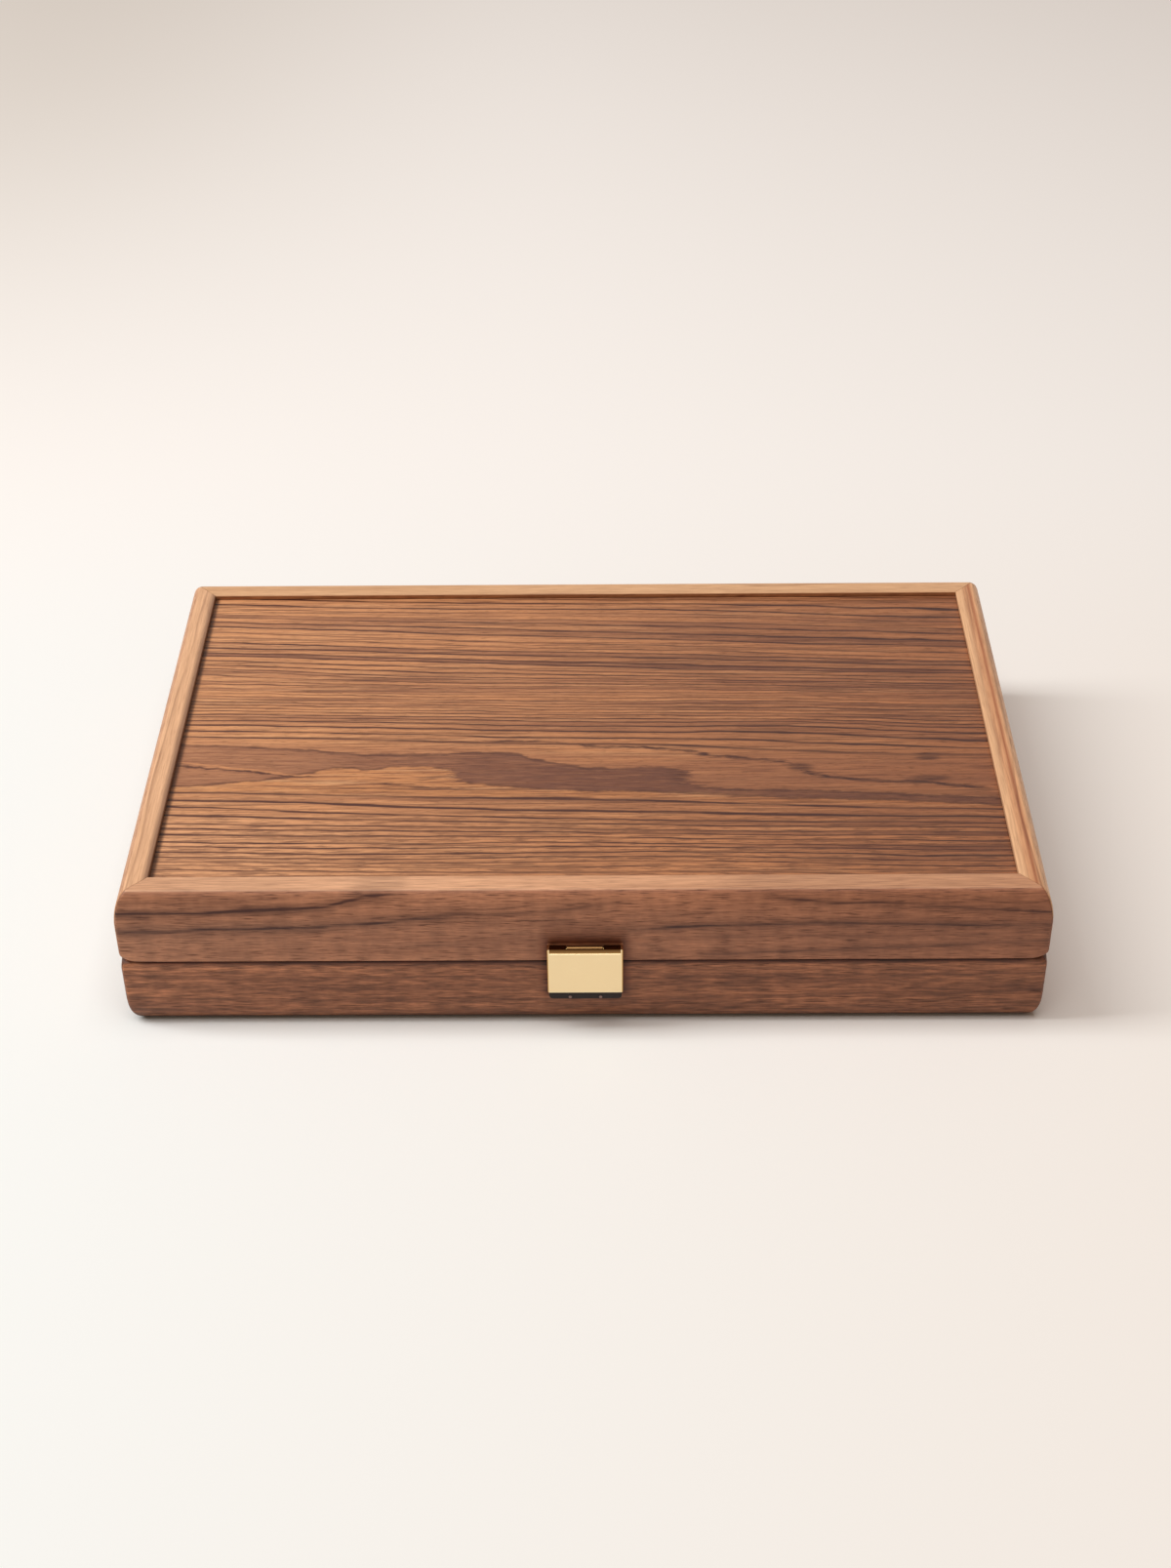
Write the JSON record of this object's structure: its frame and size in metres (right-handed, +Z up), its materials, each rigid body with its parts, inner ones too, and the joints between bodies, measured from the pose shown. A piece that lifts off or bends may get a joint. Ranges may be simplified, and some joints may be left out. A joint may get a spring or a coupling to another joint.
{
  "type": "backgammon case",
  "caption": "Folding wooden backgammon case with mitred bulged frames, recessed panels, inlaid playing fields, butt hinges at the back and a brass hasp with a leather tab in front.",
  "frame": {"origin": "centre of the closed case's outer box, on the plane that it rests on", "axes": "+X to the right along the hinge line, +Y to the back where the hinges are, +Z up; the hasp is at -Y"},
  "size_m": [0.48, 0.31, 0.0864],
  "materials": {
    "walnut": "satin oiled, long grain",
    "panel_wood": "satin lacquered veneer, striped grain",
    "field_wood": "satin lacquered veneer",
    "light_inlay": "satin lacquered veneer",
    "dark_inlay": "satin lacquered veneer",
    "brass": "polished and plated",
    "leather": "smooth, dyed dark",
    "magnet": "nickel plated"
  },
  "bodies": {
    "base": {"base_front": "walnut", "base_back": "walnut", "base_left": "walnut", "base_right": "walnut", "base_panel": "panel_wood", "base_field": "field_wood", "base_point_1": "light_inlay", "base_point_2": "dark_inlay", "base_point_3": "light_inlay", "base_point_4": "dark_inlay", "base_point_5": "light_inlay", "base_point_6": "dark_inlay", "base_point_7": "light_inlay", "base_point_8": "dark_inlay", "base_point_9": "light_inlay", "base_point_10": "dark_inlay", "base_point_11": "light_inlay", "base_point_12": "dark_inlay", "keeper_magnet": "magnet", "hinge_left_pin": "brass", "hinge_left_base_leaf": "brass", "hinge_left_base_screw_left": "brass", "hinge_left_base_screw_right": "brass", "hinge_right_pin": "brass", "hinge_right_base_leaf": "brass", "hinge_right_base_screw_left": "brass", "hinge_right_base_screw_right": "brass"},
    "lid": {"lid_front": "walnut", "lid_back": "walnut", "lid_left": "walnut", "lid_right": "walnut", "lid_panel": "panel_wood", "lid_field": "field_wood", "lid_point_1": "light_inlay", "lid_point_2": "dark_inlay", "lid_point_3": "light_inlay", "lid_point_4": "dark_inlay", "lid_point_5": "light_inlay", "lid_point_6": "dark_inlay", "lid_point_7": "light_inlay", "lid_point_8": "dark_inlay", "lid_point_9": "light_inlay", "lid_point_10": "dark_inlay", "lid_point_11": "light_inlay", "lid_point_12": "dark_inlay", "hasp_bracket": "brass", "bracket_screw_left": "brass", "bracket_screw_right": "brass", "hinge_left_lid_leaf": "brass", "hinge_left_lid_screw_left": "brass", "hinge_left_lid_screw_right": "brass", "hinge_right_lid_leaf": "brass", "hinge_right_lid_screw_left": "brass", "hinge_right_lid_screw_right": "brass"},
    "hasp": {"hasp_cover": "brass", "hasp_pin": "brass", "hasp_magnet": "magnet", "hasp_tab": "leather", "tab_rivet_left": "brass", "tab_rivet_right": "brass"}
  },
  "joints": [
    {"name": "lid_hinge", "type": "hinge", "parent": "base", "child": "lid", "pos_m": [0, 0.15205, 0.0432], "axis": [-1, 0, 0], "range_deg": [0, 180]},
    {"name": "hasp_hinge", "type": "hinge", "parent": "lid", "child": "hasp", "pos_m": [0.001, -0.15175, 0.0533], "axis": [-1, 0, 0], "range_deg": [0, 90]}
  ]
}
